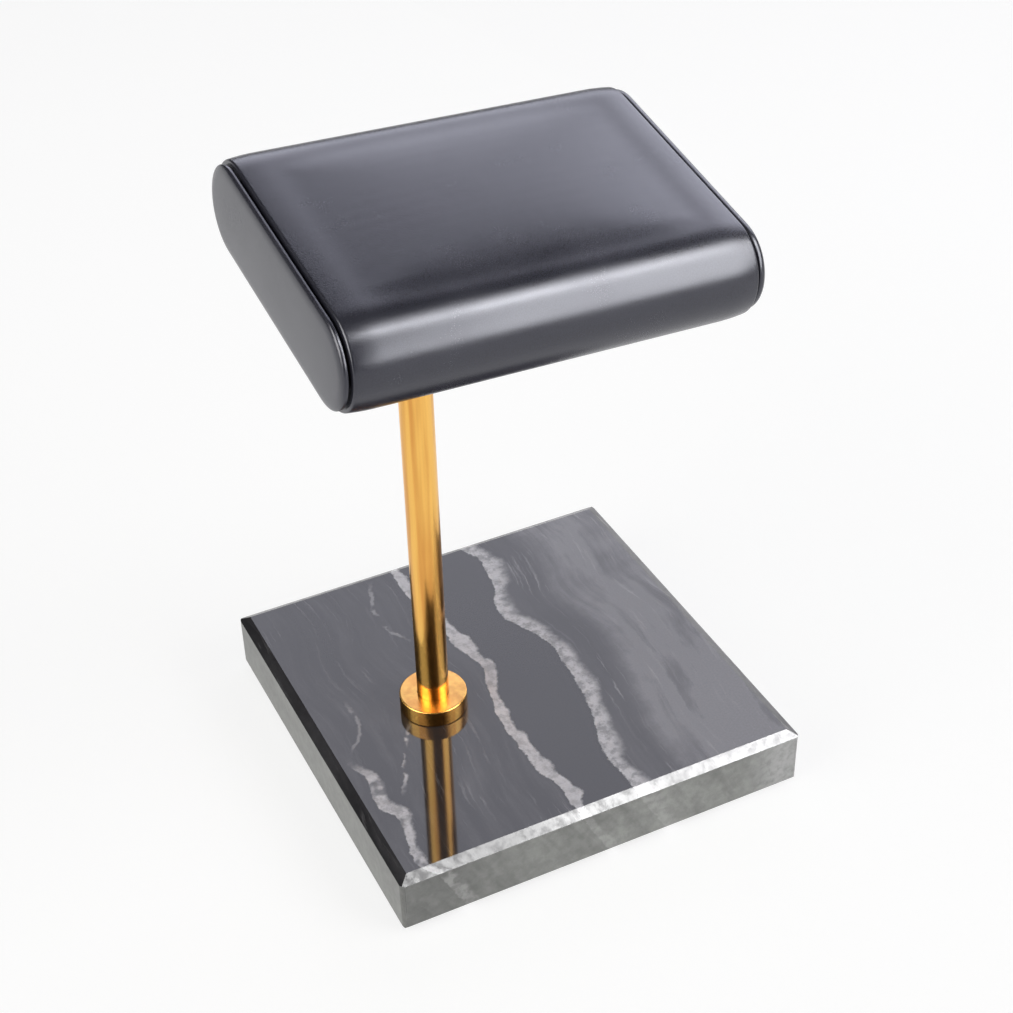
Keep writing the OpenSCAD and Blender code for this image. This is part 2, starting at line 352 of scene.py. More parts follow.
# Painted shade: the next colour darkens the honed sides towards the slab's left end
HONED_PAINTED_SHADE = grey(0.08)  # of the front side, towards the left corner
HONED_VEIN = grey(0.42, (1, 1, 0.98))
HONED_CLOUD = grey(0.4)
# Painted highlight: the next colour lightens the honed sides near the slab's right corner
PAINTED_HIGHLIGHT_END = grey(0.44)  # of the front side, near the right corner
POLISHED_ROUGHNESS, HONED_ROUGHNESS = 0.05, 0.38


def slab_share(place):
    """A place on the slab, from -50 to 50, as a share of its side."""
    return place / SLAB_SIDE + 0.5


class Marble(Finish):
    """Stone that is polished on top and honed on its sides, with veins that run over the edges."""

    def __init__(self):
        super().__init__("polished_marble", IOR=1.5)
        self.spot = self.place()
        self.x, self.y, height = self.axes(self.spot)
        self.depth = self.calc("SUBTRACT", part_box("base_slab")[1].z / MM, height)
        self.across = self.calc("MULTIPLY_ADD", self.depth, -VEIN_SLANT, self.x)
        self.along = self.calc("MULTIPLY_ADD", self.y, 1 / SLAB_SIDE, 0.5)
        self.lumps = self.calc("SUBTRACT", self.noise(self.spot, size=7, detail=2), 0.5)
        self.chips = self.calc("SUBTRACT", self.noise(self.spot, size=1.5, detail=4, rough=0.62), 0.5)
        self.cloudy = self.noise(self.spot, size=2.2, detail=5, rough=0.62)
        self.broken = self.noise(self.spot, size=4.5, detail=2)
        self.swelling = self.noise(self.place((0.6, 1, 0.6)), size=9, detail=1)
        self.by_post = self.distance(VEIN_BY_POST)
        self.on_right = self.distance(VEIN_ON_RIGHT)
        self.right_side = self.rise(self.on_right, 0, 2.5)
        self.left_side = self.fall(self.by_post, -2.5, -0.8)
        halfway = self.product(self.calc("ADD", self.on_right, self.across), 0.5)
        self.with_veins = self.vector(X=halfway, Y=self.y, Z=self.depth)
        bands = self.stretched(self.with_veins, (1, 0.13, 0.35))
        self.streaks = self.noise(bands, size=6, detail=5, rough=0.58, warp=0.3)

    def distance(self, points):
        """How far to the right of a vein's left edge a spot is."""
        line = self.node("ShaderNodeFloatCurve", {"Value": self.along})
        curve = line.mapping.curves[0]
        for point, (x, y) in zip((curve.points[0], curve.points[1]), (points[-1], points[0])):
            point.location = (slab_share(y), slab_share(x))
        for x, y in points[1:-1]:
            curve.points.new(slab_share(y), slab_share(x))
        line.mapping.update()
        middle = self.calc("MULTIPLY_ADD", line.outputs[0], SLAB_SIDE, -SLAB_SIDE / 2)
        straight = self.calc("SUBTRACT", self.across, middle)
        swayed = self.calc("MULTIPLY_ADD", self.lumps, VEIN_SWAY, straight)
        return self.calc("MULTIPLY_ADD", self.chips, VEIN_CHIPPING, swayed)

    def vein(self, away, width, feather, faintest):
        """Pale band that is crisp on its left and thins out to the right."""
        edge = self.spread(self.swelling, VEIN_NARROWEST * width, width)
        left = self.rise(away, -0.5 * width - 0.3, -0.5 * width + 0.1)
        right = self.fall(self.calc("SUBTRACT", away, edge), -0.3, feather)
        return self.product(left, right, self.rise(self.cloudy, 0.34, 0.60, faintest, 1))

    def thin_vein(self, points, back, front, strength, fade=3):
        """Fine broken line between two places along the slab."""
        line = self.fall(self.calc("ABSOLUTE", self.distance(points)), 0.15, 0.75, strength)
        begun = self.rise(self.y, front - fade, front + fade)
        within = self.product(begun, self.fall(self.y, back - fade, back + fade))
        return self.product(line, within, self.rise(self.broken, 0.36, 0.5))

    def hairlines(self):
        """Faint streaks along the veins, mostly on the slab's right half."""
        rays = self.stretched(self.with_veins, (1, 0.06, 0.35))
        lines = self.rise(self.noise(rays, size=1.3, detail=4, rough=0.6, warp=0.2), 0.56, 0.70)
        sparse = self.rise(self.noise(self.spot, size=11, detail=1), 0.4, 0.65, 0.2, 1)
        reach = self.calc("MULTIPLY_ADD", self.left_side, 0.4, self.right_side)
        return self.product(lines, sparse, reach, 0.34)

    def veins(self):
        """How white a spot is."""
        on_left = self.product(
            self.vein(self.distance(VEIN_ON_LEFT), width=2.2, feather=1.0, faintest=0.55),
            self.fall(self.y, -20, -9),
            self.rise(self.broken, 0.38, 0.5, 0.25, 1),
        )
        return self.largest(
            self.vein(self.by_post, width=2.7, feather=0.6, faintest=0.62),
            self.vein(self.on_right, width=2.0, feather=2.8, faintest=0.42),
            on_left,
            self.thin_vein(THIN_VEIN_BEHIND, back=44, front=22, strength=0.35),
            self.thin_vein(THIN_VEIN_IN_FRONT, back=-8, front=-24, strength=0.8),
            self.thin_vein(VEIN_ON_LEFT, back=6, front=-8, strength=0.3),
            self.hairlines(),
        )

    def paleness(self):
        """How far the ground between the veins lightens, mostly on the slab's right half."""
        on_right = self.product(
            self.right_side,
            self.rise(self.streaks, 0.32, 0.68, 0.25, 1),
            self.rise(self.on_right, 9, 20, 0.12, 1.8),
        )
        on_left = self.product(self.left_side, self.rise(self.streaks, 0.40, 0.70, 0, 0.12))
        return self.product(
            self.calc("ADD", on_right, on_left),
            self.spread(self.noise(self.spot, size=16, detail=3), 0.5, 1.1),
            self.fall(self.y, -SLAB_SIDE / 2, SLAB_SIDE / 2, 1.5, 0.8),
        )

    def polished(self, white):
        rim = self.product(self.rise(self.on_right, -2.6, -1.2), self.fall(self.on_right, -1.2, 0.2))
        ground = self.blend(self.paleness(), DARK_STONE, PALE_STONE)
        ground = self.blend(self.product(rim, 0.5), ground, VEIN_RIM)
        colour = self.blend(white, ground, VEIN_WHITE)
        grain = self.noise(self.spot, size=0.5, detail=3, rough=0.6)
        return self.blend(self.spread(grain, 0, 0.28), colour, STONE_GRAIN, "MULTIPLY")

    def honed(self, white):
        ground = self.blend(self.spread(self.streaks, 0.45, 0), HONED_STONE, HONED_STREAK)
        # Painted shade: the honed sides darken towards the slab's left end
        ground = self.blend(self.fall(self.x, -SLAB_SIDE / 2, 0, 0.5), ground, HONED_PAINTED_SHADE)
        colour = self.blend(self.product(white, 0.6), ground, HONED_VEIN)
        colour = self.blend(self.spread(self.cloudy, 0.4, 0), colour, HONED_CLOUD, "MULTIPLY")
        # Painted highlight: a mottled pale band on the honed sides near the slab's right end
        pale = self.product(self.rise(self.x, 34, 46), self.rise(self.chips, -0.2, 0.15, 0.4, 1))
        return self.blend(pale, colour, PAINTED_HIGHLIGHT_END)

    def finished(self):
        upward = self.calc("ABSOLUTE", self.upward())
        side = self.fall(upward, 0.35, 0.75)
        worn = self.product(self.fall(upward, 0.90, 0.97), self.rise(self.cloudy, 0.35, 0.65, 0.02, 0.2))
        rough = self.largest(
            self.calc("ADD", worn, POLISHED_ROUGHNESS),
            self.rise(side, 0, 1, POLISHED_ROUGHNESS, HONED_ROUGHNESS),
        )
        white = self.veins()
        colour = self.blend(side, self.polished(white), self.honed(white))
        return self.set(Base_Color=colour, Roughness=rough)


# Other materials

# Painted reflection: the first two gold colours are the dark and bright bands along the post
GOLD_IN_PAINTED_DARK_BANDS, GOLD_IN_PAINTED_BRIGHT_BANDS = (0.66, 0.30, 0.07, 1), (0.90, 0.52, 0.13, 1)
# Painted shade: the second colour on the next line darkens gold faces that look up
CLOUDED_GOLD, GOLD_IN_PAINTED_SHADE = (0.86, 0.47, 0.13, 1), (0.30, 0.17, 0.07, 1)
DARK_HIDE, PALE_HIDE = (0.014, 0.014, 0.021, 1), (0.026, 0.026, 0.037, 1)
DARK_THREAD, PALE_THREAD = (0.020, 0.020, 0.026, 1), (0.055, 0.055, 0.065, 1)
PORE_SIZE, CREASE_DEPTH, FINE_DEPTH = 0.45, 0.006, 0.005
FOAM_CELL, FOAM_DEPTH = 0.45, 0.12
RING_DEPTH, FIBRE_DEPTH, PLY_DEPTH = 0.004, 0.03, 0.04


def shaded(colour, share):
    return (*(c * share for c in colour), 1)


def gold():
    """Gold plate whose glints run along the post, with painted reflection bands along it and painted shade
    on the faces that look up.
    """
    plate = Finish("gold_plate", Metallic=1.0, IOR=1.5)
    rubbed = plate.place((1, 1, 0.05))
    wear = plate.noise(rubbed, size=0.6, detail=4)
    cloud = plate.noise(plate.place(), size=9, detail=3)
    # Painted reflection: dark and pale bands that run along the post
    drawn = plate.rise(plate.noise(rubbed, size=2.4, detail=2), 0.36, 0.64)
    colour = plate.blend(drawn, GOLD_IN_PAINTED_DARK_BANDS, GOLD_IN_PAINTED_BRIGHT_BANDS)
    colour = plate.blend(plate.product(cloud, 0.3), colour, CLOUDED_GOLD)
    # Painted shade on the faces that look up, such as the collar's top
    above = plate.rise(plate.upward(), 0.8, 0.98)
    colour = plate.blend(plate.product(above, 0.6), colour, GOLD_IN_PAINTED_SHADE)
    return plate.set(
        Base_Color=colour,
        Roughness=plate.rise(wear, 0.25, 0.75, 0.17, 0.23),
        Anisotropic=0.9,
        Tangent=plate.output("ShaderNodeTangent", direction_type="RADIAL", axis="Z"),
    )


def leather():
    hide = Finish("black_leather", IOR=1.6, Specular_Tint=(0.92, 0.93, 1.0, 1))
    spot = hide.place()
    inputs = {"Vector": spot, "Scale": 1 / PORE_SIZE}
    pores = hide.node("ShaderNodeTexVoronoi", inputs, feature="DISTANCE_TO_EDGE")
    creases = hide.rise(pores.outputs["Distance"], 0, 0.16)
    fine = hide.noise(spot, size=0.22, detail=3)
    uneven = hide.noise(spot, size=14, detail=3)
    # Painted shade: the grain's creases are darker; the broad blotches are the hide's own uneven tone
    shade = hide.calc("MULTIPLY_ADD", creases, 0.4, hide.product(uneven, 0.6))
    return hide.set(
        Base_Color=hide.blend(shade, DARK_HIDE, PALE_HIDE),
        Roughness=hide.calc("MULTIPLY_ADD", fine, 0.06, hide.spread(uneven, 0.19, 0.24)),
        Normal=hide.bump(creases, CREASE_DEPTH, hide.bump(fine, FINE_DEPTH)),
    )


def foam(name, colour):
    soft = Finish(name, IOR=1.4)
    inputs = {"Vector": soft.place(), "Scale": 1 / FOAM_CELL}
    hollow = soft.node("ShaderNodeTexVoronoi", inputs, feature="SMOOTH_F1").outputs["Distance"]
    return soft.set(
        # Painted shade: the pits of the foam's cells take the darker copy of its colour
        Base_Color=soft.blend(hollow, shaded(colour, 0.6), shaded(colour, 1)),
        Roughness=soft.rise(hollow, 0, 1, 0.85, 0.98),
        Normal=soft.bump(hollow, FOAM_DEPTH),
    )


def turned(name, dark, light, roughest):
    """Bare metal from the lathe, with fine rings round its upright axis."""
    metal = Finish(name, Metallic=1.0)
    rings = metal.noise(metal.place((1, 1, 8)), size=0.7, detail=4)
    return metal.set(
        Base_Color=metal.blend(rings, (*dark, 1), (*light, 1)),
        Roughness=metal.spread(rings, 0.22, roughest),
        Normal=metal.bump(rings, RING_DEPTH),
    )


def board(name, colour):
    card = Finish(name)
    fibres = card.noise(card.place((0.15, 1, 1)), size=0.8, detail=5, rough=0.65)
    return card.set(
        Base_Color=card.blend(fibres, shaded(colour, 0.7), shaded(colour, 1)),
        Roughness=card.spread(fibres, 0.7, 0.85),
        Normal=card.bump(fibres, FIBRE_DEPTH),
    )


def thread():
    cotton = Finish("waxed_thread", IOR=1.45)
    inputs = {"Vector": cotton.place(turn=(0, 0, 0.6)), "Scale": 0.9, "Distortion": 1.0}
    ply = cotton.node("ShaderNodeTexWave", inputs).outputs["Fac"]
    return cotton.set(
        # Painted shade: the grooves between the plies are darker
        Base_Color=cotton.blend(ply, DARK_THREAD, PALE_THREAD),
        Roughness=cotton.fall(ply, 0, 1, 0.62, 0.5),
        Normal=cotton.bump(ply, PLY_DEPTH),
    )


MARBLE, GOLD, LEATHER, THREAD = Marble().finished(), gold(), leather(), thread()
STEEL = turned("turned_steel", (0.50, 0.51, 0.53), (0.66, 0.67, 0.69), 0.38)
BRASS = turned("turned_brass", (0.68, 0.48, 0.20), (0.80, 0.60, 0.30), 0.36)
FOOT_RUBBER = foam("black_rubber_foam", (0.03, 0.03, 0.03))
PADDING = foam("grey_foam", (0.30, 0.30, 0.31))
CORE_BOARD = board("core_board", (0.42, 0.29, 0.17))
GREY_BOARD = board("grey_board", (0.33, 0.32, 0.30))

# Meshes

WELD = 0.001  # corners closer than this become one
SHARP_ANGLE = 35  # degrees

Extent = namedtuple("Extent", "centre size low high")


def extent(node):
    """Where a CAD node lies, in millimetres."""
    low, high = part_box(node)
    return Extent((low + high) / 2 / MM, (high - low) / MM, low / MM, high / MM)


@contextmanager
def editing(mesh):
    """The mesh as a bmesh, which is written back afterwards."""
    shape = bmesh.new()
    shape.from_mesh(mesh)
    yield shape
    shape.to_mesh(mesh)
    shape.free()


def add_piece(name, corners, faces, material):
    """New object from points in millimetres, with its faces turned outwards."""
    mesh = bpy.data.meshes.new(name)
    mesh.from_pydata([Vector(c) * MM for c in corners], [], faces)
    with editing(mesh) as shape:
        bmesh.ops.remove_doubles(shape, verts=shape.verts, dist=WELD * MM)
        bmesh.ops.recalc_face_normals(shape, faces=shape.faces)
    mesh.polygons.foreach_set("use_smooth", [True] * len(mesh.polygons))
    mesh.materials.append(material)
    return add_object(name, mesh)


def add_modifier(piece, name, kind, **settings):
    made = piece.modifiers.new(name, kind)
    for setting, value in settings.items():
        setattr(made, setting, value)


def settle(piece):
    """Turns a piece with its modifiers into a plain mesh."""
    graph = bpy.context.evaluated_depsgraph_get()
    mesh = bpy.data.meshes.new_from_object(piece.evaluated_get(graph), depsgraph=graph)
    piece.modifiers.clear()
    piece.data = mesh


def keep_sharp(piece, angle=SHARP_ANGLE):
    """Smooth shading, but for the creases."""
    with editing(piece.data) as shape:
        for face in shape.faces:
            face.smooth = True
        for edge in shape.edges:
            edge.smooth = edge.calc_face_angle(0) < math.radians(angle)


def finish_piece(piece, slot, *replaced):
    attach(piece, "root")
    if replaced:
        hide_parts(*replaced)


# Post and collar

TURNED_STEPS = 192
COLLAR_ROUND = 0.35
COLLAR_PLAY = 0.05  # between the collar's bore and the post
ROUND_STEPS = 6
ON_AXIS = 1e-4  # radius of a closed end, small enough to weld into a point


def rounded(profile, radius):
    """The corners of an open profile, cut by arcs of the given radius."""
    out = [profile[0]]
    for before, corner, after in zip(profile, profile[1:], profile[2:]):
        a, c, b = (Vector(p) for p in (before, corner, after))
        start = c + (a - c).normalized() * min(radius, (a - c).length / 2)
        end = c + (b - c).normalized() * min(radius, (b - c).length / 2)
        for step in range(ROUND_STEPS + 1):
            t = step / ROUND_STEPS
            out.append(tuple(start * (1 - t) ** 2 + c * (2 * t * (1 - t)) + end * t ** 2))
    return out + [profile[-1]]


def lathe(name, profile, centre, material):
    """Solid of revolution round an upright axis, from (radius, height) points that close."""
    corners, faces = [], []
    count = len(profile)
    for step in range(TURNED_STEPS):
        angle = 2 * math.pi * step / TURNED_STEPS
        across, along = math.cos(angle), math.sin(angle)
        corners += [(centre.x + radius * across, centre.y + radius * along, z) for radius, z in profile]
    for step in range(TURNED_STEPS):
        here, there = step * count, (step + 1) % TURNED_STEPS * count
        for k in range(count):
            faces.append((here + k, there + k, there + (k + 1) % count, here + (k + 1) % count))
    piece = add_piece(name, corners, faces, material)
    keep_sharp(piece)
    return piece


def make_collar():
    collar = extent("post_collar")
    low, high = collar.low.z, collar.high.z
    bore, rim = extent("post").size.x / 2 + COLLAR_PLAY, collar.size.x / 2
    outside = rounded([(bore, low), (rim, low), (rim, high), (bore, high)], COLLAR_ROUND)
    finish_piece(lathe("collar", outside, collar.centre, GOLD), "gold_plate", "post_collar")


POST_TAP = 2.05  # radius of the hole for the screw
TAP_DEPTH, DRILL_POINT = 12, 1.2
SPIGOT_RADIUS = 2.5
FOOT_CHAMFER, SHOULDER_CHAMFER, SPIGOT_CHAMFER = 0.2, 0.3, 0.5


def make_post():
    post = extent("post")
    radius, low, high = post.size.x / 2, post.low.z, post.high.z
    shoulder = extent("threaded_insert").low.z
    profile = [
        (POST_TAP, low), (radius - FOOT_CHAMFER, low), (radius, low + FOOT_CHAMFER),
        (radius, shoulder - SHOULDER_CHAMFER), (radius - SHOULDER_CHAMFER, shoulder),
        (SPIGOT_RADIUS, shoulder), (SPIGOT_RADIUS, high - SPIGOT_CHAMFER),
        (SPIGOT_RADIUS - SPIGOT_CHAMFER, high), (ON_AXIS, high),
        (ON_AXIS, low + TAP_DEPTH + DRILL_POINT), (POST_TAP, low + TAP_DEPTH),
    ]
    finish_piece(lathe("gold_post", profile, post.centre, GOLD), "gold_plate", "post")


make_collar()
make_post()

# Marble slab

CORNER_ROUND = 1.4
CORNER_REACH = 60  # from the middle, beyond which an upright edge is a corner of the slab
CORNER_STEPS = 9
UPRIGHT_SLOPE = 4  # an edge this steep is an upright one
EASED_EDGE = 0.4
FLAT_WITHIN, EDGE_FROM = 1, 12  # degrees between two faces


def weigh_corners(shape):
    """Marks the slab's upright corners for rounding."""
    rounding = shape.edges.layers.float.new("bevel_weight_edge")
    for edge in shape.edges:
        first, second = (corner.co for corner in edge.verts)
        upright = abs(first.z - second.z) > (first - second).to_2d().length * UPRIGHT_SLOPE
        edge[rounding] = float(upright and first.to_2d().length > CORNER_REACH * MM)


def make_slab():
    """The CAD slab with rounded corners, and with its ground edges eased to catch the light."""
    mesh = nodes["base_slab"].data.copy()
    flat = math.radians(FLAT_WITHIN)
    with editing(mesh) as shape:
        bmesh.ops.remove_doubles(shape, verts=shape.verts, dist=WELD * MM)
        bmesh.ops.dissolve_limit(shape, angle_limit=flat, verts=shape.verts, edges=shape.edges)
        weigh_corners(shape)
    slab = add_object("marble_slab", mesh)
    mesh.materials.clear()
    mesh.materials.append(MARBLE)
    corners = {"width": CORNER_ROUND * MM, "segments": CORNER_STEPS, "limit_method": "WEIGHT"}
    edges = {"width": EASED_EDGE * MM, "segments": 3, "limit_method": "ANGLE"}
    add_modifier(slab, "round_corners", "BEVEL", **corners)
    add_modifier(slab, "eased_edges", "BEVEL", **edges, angle_limit=math.radians(EDGE_FROM))
    mesh.polygons.foreach_set("use_smooth", [True] * len(mesh.polygons))
    add_modifier(slab, "flat_faces", "WEIGHTED_NORMAL", keep_sharp=True)
    finish_piece(slab, "marble", "base_slab")


make_slab()

# Feet and screw

RIM_DRAW = 0.35
KNURL_RIDGES = 44
RIDGE_RADIUS, RIDGE_MARGIN = 0.17, 0.9


def make_feet():
    """Four stick-on feet with rounded rims, one recipe for all."""
    node_names = ["foot_front_left", "foot_front_right", "foot_back_left", "foot_back_right"]
    foot = extent(node_names[0])
    spread = extent("foot_back_right").centre.x - extent("foot_front_left").centre.x
    lengths = {"Radius": foot.size.x / 2, "Thickness": foot.size.z, "Rim Draw": RIM_DRAW, "Spread": spread}
    feet = Recipe("stick_on_feet", lengths, {"Rim Steps": 8})
    given = feet.inputs
    disc = feet.output("GeometryNodeMeshCylinder", {
        "Vertices": 64, "Side Segments": given["Rim Steps"], "Fill Segments": 3,
        "Radius": given["Radius"], "Depth": given["Thickness"]})
    draw = feet.calc("DIVIDE", given["Rim Draw"], given["Radius"])
    disc = feet.drawn_in(disc, given["Thickness"], share=draw, power=4)
    corners = feet.output("GeometryNodeMeshGrid", {
        "Size X": given["Spread"], "Size Y": given["Spread"], "Vertices X": 2, "Vertices Y": 2})
    middle = feet.vector(Z=feet.product(given["Thickness"], 0.5))
    placed = {"Geometry": feet.on_points(corners, disc), "Translation": middle}
    piece = add_piece("rubber_feet", [], [], FOOT_RUBBER)
    feet.make(piece, feet.output("GeometryNodeTransform", placed), FOOT_RUBBER)
    finish_piece(piece, "foot_foam", *node_names)


def make_knurl():
    """Ridges round the screw's head, for a grip."""
    screw, head_top = extent("base_screw"), extent("lock_washer").low.z
    ridge_height = head_top - screw.low.z - RIDGE_MARGIN
    lengths = {"Head Radius": screw.size.x / 2, "Ridge Radius": RIDGE_RADIUS, "Ridge Height": ridge_height}
    knurl = Recipe("head_knurl", lengths, {"Ridges": KNURL_RIDGES})
    given = knurl.inputs
    ring = knurl.output("GeometryNodeMeshCircle", {
        "Vertices": given["Ridges"], "Radius": given["Head Radius"]})
    ridge = knurl.output("GeometryNodeMeshCylinder", {
        "Vertices": 8, "Side Segments": 5,
        "Radius": given["Ridge Radius"], "Depth": given["Ridge Height"]})
    ridge = knurl.drawn_in(ridge, given["Ridge Height"], share=0.7, power=5)
    middle = Vector((screw.centre.x, screw.centre.y, (screw.low.z + head_top) / 2)) * MM
    placed = {"Geometry": knurl.on_points(ring, ridge), "Translation": middle}
    piece = add_piece("head_knurl", [], [], STEEL)
    knurl.make(piece, knurl.output("GeometryNodeTransform", placed), STEEL)
    finish_piece(piece, "screw_steel")


make_feet()
make_knurl()

# Wrist pillow: its layers share one flat oval section, drawn along X and then put in place

PILLOW_LEAN, PILLOW_DROOP, PILLOW_TURN = 10.6, 3.0, 1.3  # degrees
PILLOW_WIDTH, PILLOW_THICKNESS = 69, 21.6
LEATHER_THICKNESS = 0.6
FOAM_THICKNESS = 2.5
LAYER_GAP = 0.05
SLEEVE_HALF = 43.7  # half the length of the leather sleeve
END_RUN, END_FALL = 6, 0.35  # how the sleeve's outline draws in towards its ends
LIP_ROUND, INNER_LIP = 0.5, 0.2  # radii of the fold at the sleeve's ends
HEM_INSET = 4.8  # how far in from the outline the openings are
CUT_ROUND = 0.15  # of the leather's cut edges
HEM_OUTSIDE, HEM_INSIDE = 2.0, 2.2  # insets where the hem's flat faces begin
FOAM_FALL = 0.8  # how much deeper the foam's inside lies at the sleeve's ends
CAP_START, CAP_END = 44.2, 46.2
CAP_INSET = 1.1
CAP_FALL, CAP_RUN = 2.6, 1.3
CAP_DOME, DOME_REACH = 0.1, 9.8
LEFT_CAP_END, RIGHT_CAP_END = 45.7, 46.4
BOARD_THICKNESS = 0.5
POST_HOLE = 3.9  # radius of the hole in the leather for the post
DRILL_START = 5  # below the leather
DIMPLE, DIMPLE_REACH = 0.3, 4.0
FLAT_STEPS, ARC_STEPS, SIDE_STEPS = 30, 26, 36

ARC_MIDDLE = PILLOW_WIDTH / 2 - PILLOW_THICKNESS / 2
SIDE_HALF = SLEEVE_HALF - END_RUN
pillow_middle = extent("pad_cover").centre
pillow_turn = Euler([math.radians(a) for a in (PILLOW_LEAN, PILLOW_DROOP, PILLOW_TURN)]).to_matrix()
post_axis = extent("post").centre


def spaced(half, steps):
    """Evenly spaced places from -half to half."""
    return [-half + 2 * half * k / steps for k in range(steps + 1)]


def oval_ring(inset):
    """Points round the pillow's section, as (y, z), inset from its outline."""
    radius = PILLOW_THICKNESS / 2 - inset
    ring = [(y, radius) for y in spaced(ARC_MIDDLE, FLAT_STEPS)[:-1]]
    for k in range(ARC_STEPS):
        angle = math.pi * (0.5 - k / ARC_STEPS)
        ring.append((ARC_MIDDLE + radius * math.cos(angle), radius * math.sin(angle)))
    return np.array(ring + [(-y, -z) for y, z in ring])


def quarter(end, start_inset, fall, run, steps):
    """Rounded edge from a side into an end face, as (x, inset)."""
    turns = [math.radians(90 * k / steps) for k in range(steps + 1)]
    return [(end - run * (1 - math.sin(a)), start_inset + fall * (1 - math.cos(a))) for a in turns]


def hull(profile):
    """All the rings of a profile of (x, inset) points, as an array of x, y, z."""
    return np.array([[(x, y, z) for y, z in oval_ring(inset)] for x, inset in profile])


def mirrored(profile):
    return [(-x, inset) for x, inset in reversed(profile)]


def ring_faces(rings, points, closed):
    faces = []
    for r in range(rings if closed else rings - 1):
        here, there = r * points, (r + 1) % rings * points
        for k in range(points):
            n = (k + 1) % points
            faces.append((here + k, here + n, there + n, there + k))
    return faces


def lid_faces(first, points):
    """Strip of quads that closes an oval ring, joining its upper to its lower points."""
    half, quarter_arc = points // 2, ARC_STEPS // 2
    upper = range(1 - quarter_arc, FLAT_STEPS + quarter_arc)
    pairs = [(first + k % points, first + (half + FLAT_STEPS - k) % points) for k in upper]
    faces = [(a, b, d, c) for (a, b), (c, d) in zip(pairs, pairs[1:])]
    (a, b), (c, d) = pairs[0], pairs[-1]
    tip_front = first + -quarter_arc % points
    tip_back = first + FLAT_STEPS + quarter_arc
    return faces + [(tip_front, b, a), (tip_back, c, d)]


def closed_faces(count, points):
    """Faces of a solid from rings, with a lid at both ends."""
    last = (count - 1) * points
    return ring_faces(count, points, False) + lid_faces(0, points) + lid_faces(last, points)


def place_in_pillow(points):
    """Turns points from the pillow's own axes into the leaning pillow, dimpled at the post."""
    placed = points.reshape(-1, 3) @ np.array(pillow_turn).T + np.array(pillow_middle)
    away = np.hypot(placed[:, 0] - post_axis.x, placed[:, 1] - post_axis.y)
    below = points.reshape(-1, 3)[:, 2] < 0
    near = np.clip(1 - (away - POST_HOLE) / DIMPLE_REACH, 0, 1)
    placed[:, 2] += DIMPLE * near * near * below
    return placed


def sleeve_side(end, inset, lip):
    """Outline of a layer of the sleeve towards its right end: drawn in, then folded over."""
    run = end - lip - SIDE_HALF
    shares = (0.15, 0.35, 0.55, 0.75, 0.9, 1.0)
    drawn = [(SIDE_HALF + run * t, inset + END_FALL * t * t) for t in shares]
    return drawn + quarter(end, inset + END_FALL, lip, lip, steps=5)[1:]


def straight_side(inset):
    return [(x, inset) for x in spaced(SIDE_HALF, SIDE_STEPS)]


def sleeve_outline(end, inset, lip):
    side = sleeve_side(end, inset, lip)
    return mirrored(side) + straight_side(inset) + side


# Swelling of the leather over its padding

SLACK = 0.3  # how much smaller the skin is before it swells
CROWN = 2.6  # how far the padding may swell
HELD_REACH = 4  # over which the skin's ends go from free to held
FULLNESS = 0.2  # how much fuller the flat sides are, dropping off towards the arcs
FULL_WIDTH, FULL_FADE = 31, 30
SWELL_FRAMES = 20
CLOTH = {
    "quality": 6, "mass": 0.1, "tension_stiffness": 5, "compression_stiffness": 5,
    "shear_stiffness": 3, "bending_stiffness": 0.4, "use_pressure": True,
    "uniform_pressure_force": 3.2, "vertex_group_mass": "held",
}


def hold(cloth, weights):
    group = cloth.vertex_groups.new(name=CLOTH["vertex_group_mass"])
    for index, weight in enumerate(weights):
        if weight > 0:
            group.add([index], float(weight), "REPLACE")


def swell(skin, faces, weights, limit):
    """Cloth under air pressure, from points in millimetres; gives how far each point moves."""
    mesh = bpy.data.meshes.new("skin")
    mesh.from_pydata((skin * MM).tolist(), [], [face[::-1] for face in faces])
    cloth = add_object("skin", mesh)
    hold(cloth, weights)
    press = cloth.modifiers.new("press", "CLOTH")
    for setting, value in CLOTH.items():
        setattr(press.settings, setting, value)
    press.settings.effector_weights.gravity = 0
    press.point_cache.frame_start, press.point_cache.frame_end = 1, SWELL_FRAMES
    for number in range(1, SWELL_FRAMES + 1):
        scene.frame_set(number)
    shape = cloth.evaluated_get(bpy.context.evaluated_depsgraph_get())
    moved = np.array([v.co for v in shape.data.vertices]) / MM - skin
    scene.frame_set(1)
    bpy.data.objects.remove(cloth)
    far = np.linalg.norm(moved, axis=1, keepdims=True)
    return moved * (limit * np.tanh(far / limit) / np.maximum(far, 1e-9))


def fuller(plain):
    """How much the flat sides gain, from their middle to the arcs and the ends."""
    flatness = np.clip(1 - (plain[..., 1] / FULL_WIDTH) ** 2, 0, 1) ** 1.5
    nearness = np.clip((SLEEVE_HALF - np.abs(plain[..., 0])) / FULL_FADE, 0, 1)
    return FULLNESS * flatness * nearness * nearness * (3 - 2 * nearness) * np.sign(plain[..., 2])


def without_dents(moves, plain):
    """Takes out what would move a point inwards from the plain outline."""
    outward = plain * (0, 1, 1)
    outward[..., 1] -= np.clip(outward[..., 1], -ARC_MIDDLE, ARC_MIDDLE)
    outward /= np.linalg.norm(outward, axis=2, keepdims=True)
    return moves - outward * np.minimum((moves * outward).sum(axis=2, keepdims=True), 0)


